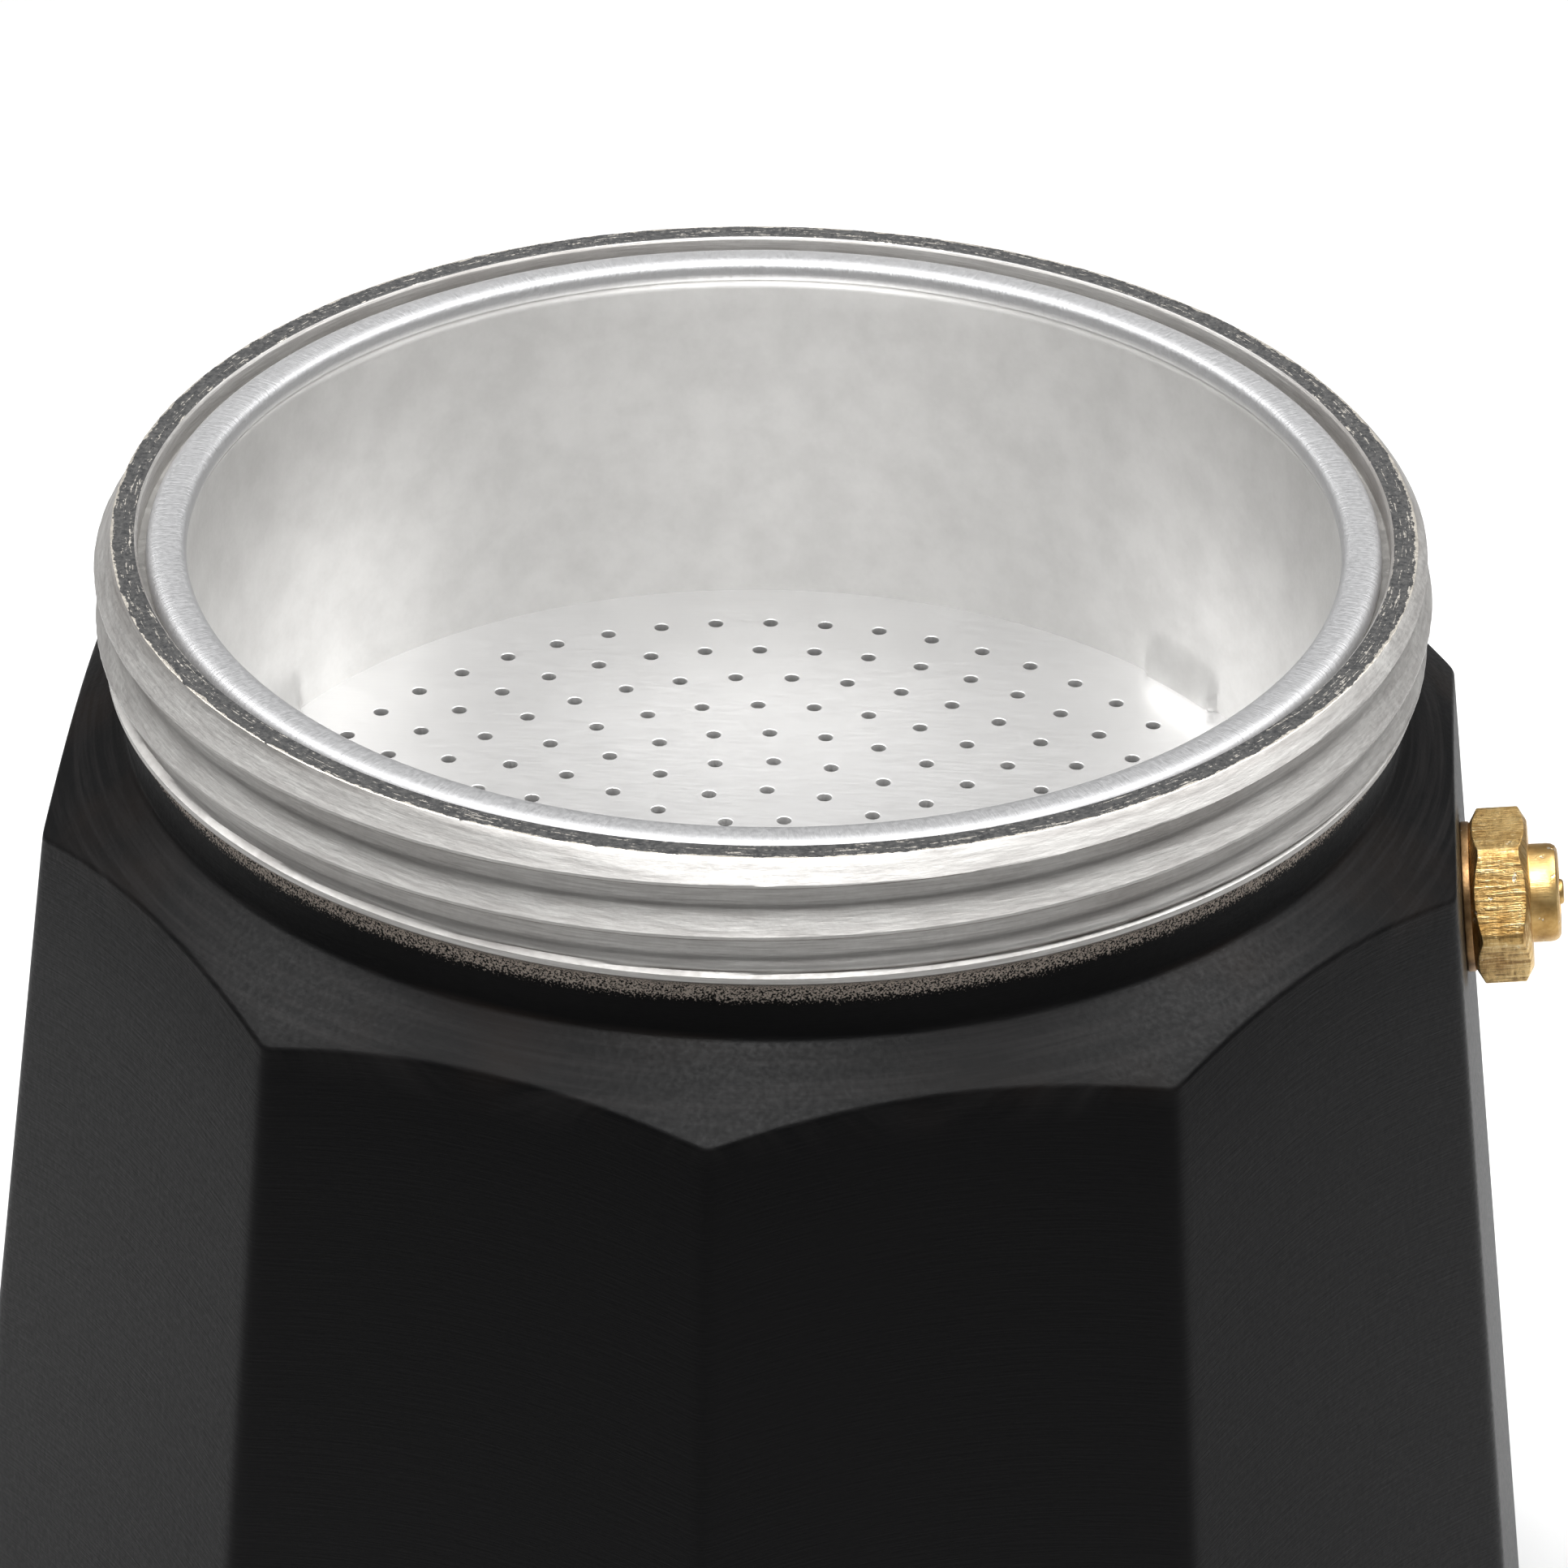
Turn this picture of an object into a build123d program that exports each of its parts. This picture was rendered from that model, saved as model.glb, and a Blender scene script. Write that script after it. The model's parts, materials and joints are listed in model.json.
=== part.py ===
from build123d import *
import math
import os

# Lower half of a ten-sided stove-top coffee maker: boiler, filter funnel and safety valve.
# Frame: millimetres, +Z up, origin at the centre of the resting face, safety valve on the +X facet.

# ---------------------------------------------------------------- driving dimensions
HEIGHT = 108.0              # resting face to the flat top of the neck
SIDES = 10                  # facets of the body
SHOULDER_CORNER_R = 51.1    # corner radius where the facets meet the cone shoulder
SHOULDER_CORNER_DROP = 18.6 # that corner, below the neck's top
CORNER_FLARE = 0.122        # growth of the corner radius per millimetre down
BASE_EDGE = 3.0             # chamfer between the facets and the resting face
BASE_RECESS_R = 44.0        # shallow turned recess in the underside
BASE_RECESS_DEPTH = 0.6

NECK_TOP_R = 45.0           # outer edge of the neck's flat top
NECK_PLAIN_R = 44.5         # plain band under the thread
NECK_PLAIN_DROP = 14.0      # foot of the plain band, below the neck's top
NECK_BORE_R = 41.4          # the funnel hangs in this bore
LEAD_IN = 1.4               # height of the chamfer that leads into the thread
COLLAR_R = 45.6             # turned collar that ends the thread
COLLAR_DROP = 9.2           # its lower edge, below the neck's top
COLLAR_FLANK = 0.9          # height of the flank under the collar
COLLAR_LAND = 0.4           # height of the collar's cylinder, and of the fall above it

THREAD_CREST_R = 46.2       # single-start, right-hand
THREAD_ROOT_R = 45.0
THREAD_PITCH = 3.9
THREAD_TURNS = 2.05
THREAD_START = -20.0        # azimuth where the ridge rises out of the collar, degrees
THREAD_START_DROP = 8.55    # ridge's centre there, below the neck's top
THREAD_FOOT = 2.1           # axial width of the ridge at its root
THREAD_LAND = 0.3           # axial width of the ridge at its crest
THREAD_SINK = 0.4           # how far the ridge is buried in the neck

WALL_FLOOR = 4.0            # floor of the water chamber
CHAMBER_FLOOR_R = 54.4      # radius where the wall would meet the floor
CHAMBER_TOP_R = 45.6
CHAMBER_TOP_DROP = 21.0     # where the chamber starts to close in under the shoulder
CHAMBER_FLOOR_FILLET = 9.0

SEAT_R = 43.2               # counterbore in the rim that the rolled rim sits in
SEAT_DEPTH = 1.8

CUP_IN_R = 40.3             # coffee basket
CUP_WALL = 0.8
ROLL_IN_R = 39.8            # rolled rim
ROLL_OUT_R = 42.6
ROLL_DROP = 0.4             # its top, below the neck's top
DISC_DROP = 28.2            # top of the filter disc, below the neck's top
DISC_THICK = 0.6
DISC_LEDGE = 1.3            # width of the ledge that the disc rests on
CONE_ANGLE = 20.0           # slope of the funnel's conical bottom
SOCKET_LENGTH = 7.0         # sleeve under the cone that grips the riser

DIMPLES = (43.5, 156.5, 270.0)  # azimuths of the crimps that hold the disc down
DIMPLE_R = 8.0              # radius of the crimping tool's nose
DIMPLE_DEPTH = 0.45
DIMPLE_RISE = 2.7           # crimp's centre above the disc

HOLE_R = 0.53               # perforations
HOLE_RING_PITCH = 4.06
HOLE_FIRST_R = 2.75
HOLE_RINGS = (              # holes in each ring and the azimuth of its first hole, degrees
    (4, 20.0), (10, 8.0), (16, 1.7), (22, 8.7), (29, 5.2), (35, 2.0), (41, 1.4), (48, 4.2), (54, 6.2),
)

STEM_R = 5.0                # riser tube
STEM_WALL = 0.7
STEM_GAP = 6.0              # riser's mouth above the chamber's floor
STEM_IN_SOCKET = 6.5

VALVE_HEIGHT = 80.0         # valve axis at the facet's surface
HEX_FLATS = 11.0
HEX_THICK = 4.05
HEX_FACE_R = 5.2            # face circle left by the 30 degree chamfers on both sides
BOSS_R = 3.475
BOSS_LENGTH = 2.05
BOSS_EDGE = 0.8
WASHER_R = 5.3
WASHER_THICK = 0.6
SHANK_R = 4.0               # M8 x 1 shank
SHANK_LENGTH = 7.0          # inward from the facet
SHANK_EDGE = 0.5
VALVE_BORE_R = 2.4
VALVE_PORT_R = 1.3          # steam port at the inner end
VALVE_SEAT_DEPTH = 4.2      # port's mouth in the 45 degree seat, inward from the facet
POPPET_HEAD_R = 2.0
POPPET_HEAD_LENGTH = 1.3
POPPET_REST_GAP = 0.05      # air between the head and its seat
POPPET_STEM_R = 0.9
POPPET_PROUD = 0.3
SPRING_WIRE_R = 0.22
SPRING_R = 1.6
SPRING_PITCH = 1.45
CAP_THICK = 1.1
CAP_SET_BACK = 0.3
CAP_HOLE_R = 1.15

OUTSIDE = 2.0               # how far a cutting shape reaches past what it cuts

# ---------------------------------------------------------------- derived dimensions
STEP_ANGLE = 360 / SIDES
FACET_COS = math.cos(math.radians(STEP_ANGLE / 2))
SHOULDER_Z = HEIGHT - SHOULDER_CORNER_DROP
FLARE_TILT = math.degrees(math.atan(CORNER_FLARE * FACET_COS))
NECK_FOOT_Z = HEIGHT - NECK_PLAIN_DROP
SHOULDER_SLOPE = (NECK_FOOT_Z - SHOULDER_Z) / (SHOULDER_CORNER_R - NECK_PLAIN_R)
DISC_TOP_Z = HEIGHT - DISC_DROP
DISC_BOTTOM_Z = DISC_TOP_Z - DISC_THICK
SOCKET_OUT_R = STEM_R + CUP_WALL
LEDGE_IN_R = CUP_IN_R - DISC_LEDGE
CONE_FALL = (LEDGE_IN_R - STEM_R) * math.tan(math.radians(CONE_ANGLE))
SOCKET_TOP_Z = DISC_BOTTOM_Z - CONE_FALL
SOCKET_BOTTOM_Z = SOCKET_TOP_Z - SOCKET_LENGTH
STEM_BOTTOM_Z = WALL_FLOOR + STEM_GAP
STEM_TOP_Z = SOCKET_BOTTOM_Z + STEM_IN_SOCKET
BOSS_FACE = WASHER_THICK + HEX_THICK + BOSS_LENGTH
CAP_TOP = BOSS_FACE - CAP_SET_BACK
CAP_BOTTOM = CAP_TOP - CAP_THICK


def corner_radius(z):
    """Corner radius of the ten-sided body at height z."""
    return SHOULDER_CORNER_R + CORNER_FLARE * (SHOULDER_Z - z)


def decagon(radius, z):
    """Ten-sided section whose facet centres lie at 0, 36, 72 ... degrees."""
    return Plane.XY.offset(z) * RegularPolygon(radius, SIDES, rotation=STEP_ANGLE / 2)


# The valve's axis is square to its flared facet, so it tips up by the facet's tilt.
VALVE_AXIS = Vector(math.cos(math.radians(FLARE_TILT)), 0, math.sin(math.radians(FLARE_TILT)))
VALVE_PLANE = Plane(
    origin=(corner_radius(VALVE_HEIGHT) * FACET_COS, 0, VALVE_HEIGHT),
    x_dir=(0, 1, 0),
    z_dir=VALVE_AXIS,
)


def turned(points):
    """Solid of revolution about +Z from an (r, z) outline."""
    face = Plane.XZ * make_face(Polyline(*points, close=True))
    return revolve(face, Axis.Z)


def faceted_body():
    """Flared ten-sided block, chamfered at its foot."""
    foot = decagon(corner_radius(BASE_EDGE) - BASE_EDGE, 0)
    low = decagon(corner_radius(BASE_EDGE), BASE_EDGE)
    high = decagon(corner_radius(HEIGHT), HEIGHT)
    return loft([foot, low]) + loft([low, high])


def turned_envelope():
    """What the lathe leaves: the cone shoulder cuts the facets, the neck stands on it."""
    wide = corner_radius(0) + OUTSIDE
    wide_z = SHOULDER_Z - (wide - SHOULDER_CORNER_R) * SHOULDER_SLOPE
    collar_z = HEIGHT - COLLAR_DROP
    return turned([
        (0, 0),
        (wide, 0),
        (wide, wide_z),
        (NECK_PLAIN_R, NECK_FOOT_Z),
        (NECK_PLAIN_R, collar_z - COLLAR_FLANK),
        (COLLAR_R, collar_z),
        (COLLAR_R, collar_z + COLLAR_LAND),
        (THREAD_ROOT_R, collar_z + 2 * COLLAR_LAND),
        (THREAD_ROOT_R, HEIGHT),
        (0, HEIGHT),
    ])


def neck_thread():
    """Helical ridge of the neck; its foot is buried so that it fuses with the neck."""
    path_r = THREAD_ROOT_R - THREAD_SINK
    rise = THREAD_CREST_R - path_r
    flank = (THREAD_FOOT - THREAD_LAND) / 2 / (THREAD_CREST_R - THREAD_ROOT_R)
    half_land = THREAD_LAND / 2
    half_foot = half_land + flank * rise
    path = Rot(0, 0, THREAD_START) * Helix(THREAD_PITCH, THREAD_PITCH * THREAD_TURNS, path_r)
    path = Pos(0, 0, HEIGHT - THREAD_START_DROP) * path
    start = path @ 0
    outward = Vector(start.X, start.Y, 0).normalized()
    outline = Polyline((0, -half_foot), (rise, -half_land), (rise, half_land), (0, half_foot), close=True)
    section = Plane(origin=start, x_dir=outward, z_dir=path % 0) * make_face(outline)
    return sweep(section, path=path, is_frenet=True)


def water_chamber():
    """Hollow of the boiler with the neck's bore and the funnel's seat."""
    top_z = HEIGHT - CHAMBER_TOP_DROP
    close_z = top_z + (CHAMBER_TOP_R - NECK_BORE_R)
    hollow = turned([
        (0, WALL_FLOOR),
        (CHAMBER_FLOOR_R, WALL_FLOOR),
        (CHAMBER_TOP_R, top_z),
        (NECK_BORE_R, close_z),
        (NECK_BORE_R, HEIGHT - SEAT_DEPTH),
        (SEAT_R, HEIGHT - SEAT_DEPTH),
        (SEAT_R, HEIGHT + OUTSIDE),
        (0, HEIGHT + OUTSIDE),
    ])
    return fillet(hollow.edges().group_by(Axis.Z)[0], CHAMBER_FLOOR_FILLET)


def boiler_body():
    shell = faceted_body() & turned_envelope()
    shell += neck_thread()
    lead = turned([
        (NECK_TOP_R, HEIGHT),
        (THREAD_CREST_R + OUTSIDE, HEIGHT),
        (THREAD_CREST_R + OUTSIDE, HEIGHT - LEAD_IN),
        (THREAD_CREST_R, HEIGHT - LEAD_IN),
    ])
    over = Pos(0, 0, HEIGHT) * Cylinder(
        THREAD_CREST_R + OUTSIDE, THREAD_PITCH, align=(Align.CENTER, Align.CENTER, Align.MIN)
    )
    shell -= lead
    shell -= over
    shell -= water_chamber()
    shell -= Cylinder(BASE_RECESS_R, BASE_RECESS_DEPTH, align=(Align.CENTER, Align.CENTER, Align.MIN))
    tapping = VALVE_PLANE.location * Cylinder(SHANK_R, 2 * (SHANK_LENGTH + OUTSIDE))
    return shell - tapping


def funnel_cup():
    """Basket with a rolled rim, a ledge for the disc, a conical bottom and the riser's socket."""
    drop = CUP_WALL / math.cos(math.radians(CONE_ANGLE))
    slope = math.tan(math.radians(CONE_ANGLE))
    cup_out_r = CUP_IN_R + CUP_WALL
    roll_bottom = HEIGHT - SEAT_DEPTH
    roll_r = (SEAT_DEPTH - ROLL_DROP) / 2
    roll_z = roll_bottom + roll_r
    wall = turned([
        (CUP_IN_R, roll_z),
        (cup_out_r, roll_z),
        (cup_out_r, DISC_BOTTOM_Z - drop + slope * (cup_out_r - LEDGE_IN_R)),
        (SOCKET_OUT_R, SOCKET_TOP_Z - drop + slope * CUP_WALL),
        (SOCKET_OUT_R, SOCKET_BOTTOM_Z),
        (STEM_R, SOCKET_BOTTOM_Z),
        (STEM_R, SOCKET_TOP_Z),
        (LEDGE_IN_R, DISC_BOTTOM_Z),
        (CUP_IN_R, DISC_BOTTOM_Z),
    ])
    middle = (ROLL_IN_R + ROLL_OUT_R) / 2
    roll_face = SlotOverall(ROLL_OUT_R - ROLL_IN_R, 2 * roll_r)
    roll = revolve(Plane.XZ * Pos(middle, roll_z) * roll_face, Axis.Z)
    cup = wall + roll
    dimple_z = DISC_TOP_Z + DIMPLE_RISE
    inside = Pos(0, 0, dimple_z) * Cylinder(CUP_IN_R + CUP_WALL / 2, 2 * DIMPLE_R)
    for azimuth in DIMPLES:
        dimple = Rot(0, 0, azimuth) * Pos(CUP_IN_R + DIMPLE_R - DIMPLE_DEPTH, 0, dimple_z)
        cup += (dimple * Sphere(DIMPLE_R)) & inside
    return cup


def hole_places():
    """Centres of the disc's perforations, ring by ring."""
    places = []
    for ring, (count, first) in enumerate(HOLE_RINGS):
        radius = HOLE_FIRST_R + ring * HOLE_RING_PITCH
        for index in range(count):
            places.append(Rot(0, 0, first + index * 360 / count) * Pos(radius, 0))
    return places


def filter_disc():
    sheet = Circle(CUP_IN_R) - [place * Circle(HOLE_R) for place in hole_places()]
    return Pos(0, 0, DISC_BOTTOM_Z) * extrude(sheet, amount=DISC_THICK)


def funnel_stem():
    return turned([
        (STEM_R - STEM_WALL, STEM_BOTTOM_Z),
        (STEM_R, STEM_BOTTOM_Z),
        (STEM_R, STEM_TOP_Z),
        (STEM_R - STEM_WALL, STEM_TOP_Z),
    ])


def on_valve_axis(shape):
    """Place a shape built along +Z, with z = 0 at the facet, on the valve's axis."""
    return VALVE_PLANE.location * shape


def hexagon():
    """Hexagon chamfered on both faces, one flat facing up."""
    corner_r = HEX_FLATS / 2 / math.cos(math.radians(30))
    fall = (corner_r - HEX_FACE_R) * math.tan(math.radians(30))
    top = WASHER_THICK + HEX_THICK
    prism = Pos(0, 0, WASHER_THICK) * extrude(RegularPolygon(corner_r, 6), amount=HEX_THICK)
    barrel = turned([
        (0, WASHER_THICK),
        (HEX_FACE_R, WASHER_THICK),
        (corner_r, WASHER_THICK + fall),
        (corner_r, top - fall),
        (HEX_FACE_R, top),
        (0, top),
    ])
    return prism & barrel


def valve_body():
    boss = Pos(0, 0, WASHER_THICK) * Cylinder(
        BOSS_R, HEX_THICK + BOSS_LENGTH, align=(Align.CENTER, Align.CENTER, Align.MIN)
    )
    boss = fillet(boss.edges().group_by(Axis.Z)[-1], BOSS_EDGE)
    shank = Cylinder(SHANK_R, SHANK_LENGTH + WASHER_THICK, align=(Align.CENTER, Align.CENTER, Align.MIN))
    shank = Pos(0, 0, -SHANK_LENGTH) * chamfer(shank.edges().group_by(Axis.Z)[0], SHANK_EDGE)
    cavity = turned([
        (0, -SHANK_LENGTH - OUTSIDE),
        (VALVE_PORT_R, -SHANK_LENGTH - OUTSIDE),
        (VALVE_PORT_R, -VALVE_SEAT_DEPTH),
        (VALVE_BORE_R, -VALVE_SEAT_DEPTH + VALVE_BORE_R - VALVE_PORT_R),
        (VALVE_BORE_R, BOSS_FACE + OUTSIDE),
        (0, BOSS_FACE + OUTSIDE),
    ])
    return on_valve_axis(hexagon() + boss + shank - cavity)


def valve_washer():
    ring = Circle(WASHER_R) - Circle(SHANK_R)
    return on_valve_axis(extrude(ring, amount=WASHER_THICK))


def poppet_back():
    """Height of the poppet head's back face, where the spring stands."""
    return POPPET_REST_GAP - VALVE_SEAT_DEPTH + POPPET_HEAD_LENGTH


def valve_poppet():
    nose_z = POPPET_REST_GAP - VALVE_SEAT_DEPTH
    nose_r = VALVE_PORT_R - POPPET_REST_GAP
    return on_valve_axis(turned([
        (0, nose_z),
        (nose_r, nose_z),
        (POPPET_HEAD_R, nose_z + POPPET_HEAD_R - nose_r),
        (POPPET_HEAD_R, poppet_back()),
        (POPPET_STEM_R, poppet_back()),
        (POPPET_STEM_R, BOSS_FACE + POPPET_PROUD),
        (0, BOSS_FACE + POPPET_PROUD),
    ]))


def valve_spring():
    foot = poppet_back() + SPRING_WIRE_R
    length = CAP_BOTTOM - SPRING_WIRE_R - foot
    path = Pos(0, 0, foot) * Helix(SPRING_PITCH, length, SPRING_R)
    wire = Plane(origin=path @ 0, z_dir=path % 0) * Circle(SPRING_WIRE_R)
    return on_valve_axis(sweep(wire, path=path, is_frenet=True))


def valve_cap():
    ring = Circle(VALVE_BORE_R) - Circle(CAP_HOLE_R)
    return on_valve_axis(Pos(0, 0, CAP_BOTTOM) * extrude(ring, amount=CAP_THICK))


if __name__ == "__main__":
    os.makedirs("parts", exist_ok=True)
    export_step(boiler_body(), "parts/boiler_body.step")
    export_step(funnel_cup(), "parts/funnel_cup.step")
    export_step(filter_disc(), "parts/filter_disc.step")
    export_step(funnel_stem(), "parts/funnel_stem.step")
    export_step(valve_body(), "parts/valve_body.step")
    export_step(valve_washer(), "parts/valve_washer.step")
    export_step(valve_poppet(), "parts/valve_poppet.step")
    export_step(valve_spring(), "parts/valve_spring.step")
    export_step(valve_cap(), "parts/valve_cap.step")
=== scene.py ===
# %% [markdown]
# # A stove-top coffee maker's boiler, opened
# The lower half of a ten-sided pot stands with its jug unscrewed. Three things show: the black-coated
# boiler with its bare turned neck, the filter funnel hanging in that neck, and a brass safety valve.
# Every shape below is a surface worked out with numpy, in millimetres, and put into a mesh once.
# %% Load the frame
import json
import math

import bmesh
import bpy
import numpy as np
from mathutils import Matrix, Vector, geometry


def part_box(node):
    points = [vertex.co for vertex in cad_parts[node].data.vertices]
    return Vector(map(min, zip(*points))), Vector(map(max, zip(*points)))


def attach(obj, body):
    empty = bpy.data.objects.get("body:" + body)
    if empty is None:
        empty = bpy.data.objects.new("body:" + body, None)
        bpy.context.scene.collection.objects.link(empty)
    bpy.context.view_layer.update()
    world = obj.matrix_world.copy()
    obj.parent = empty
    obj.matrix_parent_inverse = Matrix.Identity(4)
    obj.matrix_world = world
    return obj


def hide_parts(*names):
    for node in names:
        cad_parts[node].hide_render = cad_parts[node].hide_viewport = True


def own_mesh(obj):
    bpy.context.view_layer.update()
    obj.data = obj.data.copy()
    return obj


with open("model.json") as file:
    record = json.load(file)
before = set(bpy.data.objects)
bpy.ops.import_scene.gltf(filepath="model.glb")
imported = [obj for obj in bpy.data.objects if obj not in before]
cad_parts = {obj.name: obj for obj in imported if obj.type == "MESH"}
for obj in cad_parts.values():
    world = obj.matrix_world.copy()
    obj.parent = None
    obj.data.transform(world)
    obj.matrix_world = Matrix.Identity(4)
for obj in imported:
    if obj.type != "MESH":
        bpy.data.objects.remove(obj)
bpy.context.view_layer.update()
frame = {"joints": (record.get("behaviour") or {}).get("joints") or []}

MM = 0.001

# %% [markdown]
# ## Reading sizes off the frame
# The frame already knows how tall each node is and which way the valve points, so those numbers are
# read, not typed. Only fine shape that the plain model leaves out gets a number of its own further on.
# %% Sizes from the frame


def span(node):
    """Lowest and highest corner of a node, in millimetres."""
    low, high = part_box(node)
    return np.array(low) / MM, np.array(high) / MM


joint = {item["name"]: item for item in frame["joints"]}
HEIGHT = span("boiler_body")[1][2]
DISC_BOTTOM, DISC_TOP = span("filter_disc")[0][2], span("filter_disc")[1][2]
CUP_IN_R = span("filter_disc")[1][0]
ROLL_OUT_R, ROLL_TOP = span("funnel_cup")[1][0], span("funnel_cup")[1][2]
SOCKET_BOTTOM = span("funnel_cup")[0][2]
STEM_R = span("funnel_stem")[1][0]
STEM_BOTTOM, STEM_TOP = span("funnel_stem")[0][2], span("funnel_stem")[1][2]
VALVE_AXIS = np.array(joint["valve_lift"]["axis"], float)
print("height", HEIGHT, "disc at", DISC_TOP, "basket radius", CUP_IN_R)

# %% [markdown]
# ## Grids, not vertices
# A turned or spun part is an outline carried round an axis. It could be made with a Screw modifier, but a
# grid of numbers lets the radius change with the angle too, which facets, threads and dents all need.
# Rows follow the outline and columns go round, so one small function can name every quad at once.
# %% Grid tools


def grid_quads(rows, columns, close_rows=False):
    """Quads of a grid whose columns wrap round: a corner, its right, upper-right and upper neighbours."""
    row, column = np.meshgrid(np.arange(rows - (not close_rows)), np.arange(columns), indexing="ij")
    up, right = (row + 1) % rows, (column + 1) % columns
    corners = [row * columns + column, row * columns + right, up * columns + right, up * columns + column]
    return np.stack(corners, axis=-1).reshape(-1, 4)


def rounded_outline(corners, closed=False, curve_steps=4):
    """Outline through corners (r, z, cut, steps), where r and z may be arrays over the azimuth.

    Each corner is cut back by its cut length along both sides and bridged by a parabola:
    (1-t)^2 A + 2t(1-t) corner + t^2 B. The side that leads to a corner gets that many steps.
    """
    sides = np.broadcast(*[np.atleast_1d(value) for corner in corners for value in corner[:2]]).size
    place = np.array([[np.broadcast_to(r, sides), np.broadcast_to(z, sides)] for r, z, *_ in corners])
    place = np.moveaxis(place, 1, -1)
    count, rows, last_end = len(corners), [], None
    along = np.linspace(0, 1, curve_steps + 1)[:, None, None]
    first_start = None
    for index in range(count):
        here, cut, steps = place[index], corners[index][2], corners[index][3]
        inside = closed or 0 < index < count - 1
        if cut and inside:
            back, ahead = place[index - 1] - here, place[(index + 1) % count] - here
            start = here + back / np.linalg.norm(back, axis=-1, keepdims=True) * cut
            end = here + ahead / np.linalg.norm(ahead, axis=-1, keepdims=True) * cut
            bend = (1 - along) ** 2 * start + 2 * along * (1 - along) * here + along ** 2 * end
        else:
            start = end = here
            bend = here[None]
        if last_end is None:
            first_start, first_steps = start, steps
        else:
            part = np.linspace(0, 1, steps + 1)[1:-1, None, None]
            rows.append(last_end + (start - last_end) * part)
        rows.append(bend)
        last_end = end
    if closed:
        part = np.linspace(0, 1, first_steps + 1)[1:-1, None, None]
        rows.append(last_end + (first_start - last_end) * part)
    return np.concatenate(rows)


def carried_round(outline, azimuth):
    """Points (r cos a, r sin a, z) of an outline (rows, azimuths or 1, 2) at each azimuth a."""
    radius, height = outline[..., 0], outline[..., 1]
    flat = np.broadcast_to(height, (len(outline), len(azimuth)))
    return np.stack([radius * np.cos(azimuth), radius * np.sin(azimuth), flat], axis=-1)


def circle(count):
    return np.arange(count) * (2 * np.pi / count)


def smooth_step(value):
    """0 below 0, 1 above 1, and 3v^2 - 2v^3 between."""
    value = np.clip(value, 0, 1)
    return value * value * (3 - 2 * value)


def ripple(azimuth, waves, seed):
    """Sum of sines round a circle with seeded phases, so it closes on itself; about -1 to 1."""
    chance = np.random.default_rng(seed)
    numbers = chance.integers(waves[0], waves[1], 14)
    phases = chance.uniform(0, 2 * np.pi, 14)
    return np.sin(np.multiply.outer(azimuth, numbers) + phases).sum(axis=-1) / 5


print("a grid of 3 rows and 4 columns has", len(grid_quads(3, 4)), "quads, which close round")


# %% [markdown]
# ## From numbers to a piece
# One function turns points and quads into a finished piece: it merges the points that meet at poles and
# seams, keeps crisp edges crisp by angle, names the body that the piece rides on, and hides the plain
# model's node that it stands for. The object stays at the origin; its place is in its mesh.
# %% Piece maker


def make_piece(name, points, groups, body, materials, zones=None, stands_for=(), sharp=32, flat=()):
    """Mesh from points and groups of faces, quads or triangles.

    Zones name each face's material; the groups listed in flat are true planes and are not smoothed.
    """
    mesh = bpy.data.meshes.new(name)
    faces = [face for group in groups for face in group.tolist()]
    mesh.from_pydata((points.reshape(-1, 3) * MM).tolist(), [], faces)
    for material in materials:
        mesh.materials.append(material)
    if zones is not None:
        mesh.polygons.foreach_set("material_index", np.asarray(zones, np.int32))
    smooth = [np.full(len(group), index not in flat) for index, group in enumerate(groups)]
    mesh.polygons.foreach_set("use_smooth", np.concatenate(smooth))
    work = bmesh.new()
    work.from_mesh(mesh)
    bmesh.ops.remove_doubles(work, verts=work.verts, dist=2e-7)
    work.to_mesh(mesh)
    work.free()
    smooth = np.empty(len(mesh.polygons), bool)
    mesh.polygons.foreach_get("use_smooth", smooth)
    mesh.set_sharp_from_angle(angle=math.radians(sharp))
    mesh.polygons.foreach_set("use_smooth", smooth)
    mesh.update()
    piece = bpy.data.objects.new(name, mesh)
    bpy.context.scene.collection.objects.link(piece)
    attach(piece, body)
    if stands_for:
        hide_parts(*stands_for)
    print(name, "faces", len(mesh.polygons))
    return piece


# %% [markdown]
# ## Node trees in one line each
# Materials are procedural and read Object coordinates, so they need no unwrapping and stay put when a
# piece moves. Two short helpers keep them readable: one adds a node and wires its inputs, one does sums.
# %% Material helpers
PER_MM = 1000.0          # a noise of this scale has features about a millimetre across


def add(tree, kind, inputs=None, **settings):
    made = tree.nodes.new("ShaderNode" + kind)
    for key, value in settings.items():
        setattr(made, key, value)
    for key, value in (inputs or {}).items():
        if isinstance(value, bpy.types.NodeSocket):
            tree.links.new(value, made.inputs[key])
        else:
            made.inputs[key].default_value = value
    return made


def sums(tree, operation, first, second=0.0, clamp=False):
    return add(tree, "Math", {0: first, 1: second}, operation=operation, use_clamp=clamp).outputs[0]


def ramp(tree, value, low, high, start=0.0, end=1.0):
    """Straight line from start at low to end at high, clamped outside."""
    inputs = {"Value": value, "From Min": low, "From Max": high, "To Min": start, "To Max": end}
    return add(tree, "MapRange", inputs).outputs["Result"]


def blend_colour(tree, share, first, second):
    made = add(tree, "Mix", data_type="RGBA")
    for socket, value in ((made.inputs[0], share), (made.inputs[6], first), (made.inputs[7], second)):
        if isinstance(value, bpy.types.NodeSocket):
            tree.links.new(value, socket)
        elif isinstance(value, tuple):
            socket.default_value = (*value, 1.0)
        else:
            socket.default_value = value
    return made.outputs[2]


def noise(tree, vector, scale, detail=3.0, rough=0.5):
    inputs = {"Vector": vector, "Scale": scale, "Detail": detail, "Roughness": rough}
    return add(tree, "TexNoise", inputs).outputs["Fac"]


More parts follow.
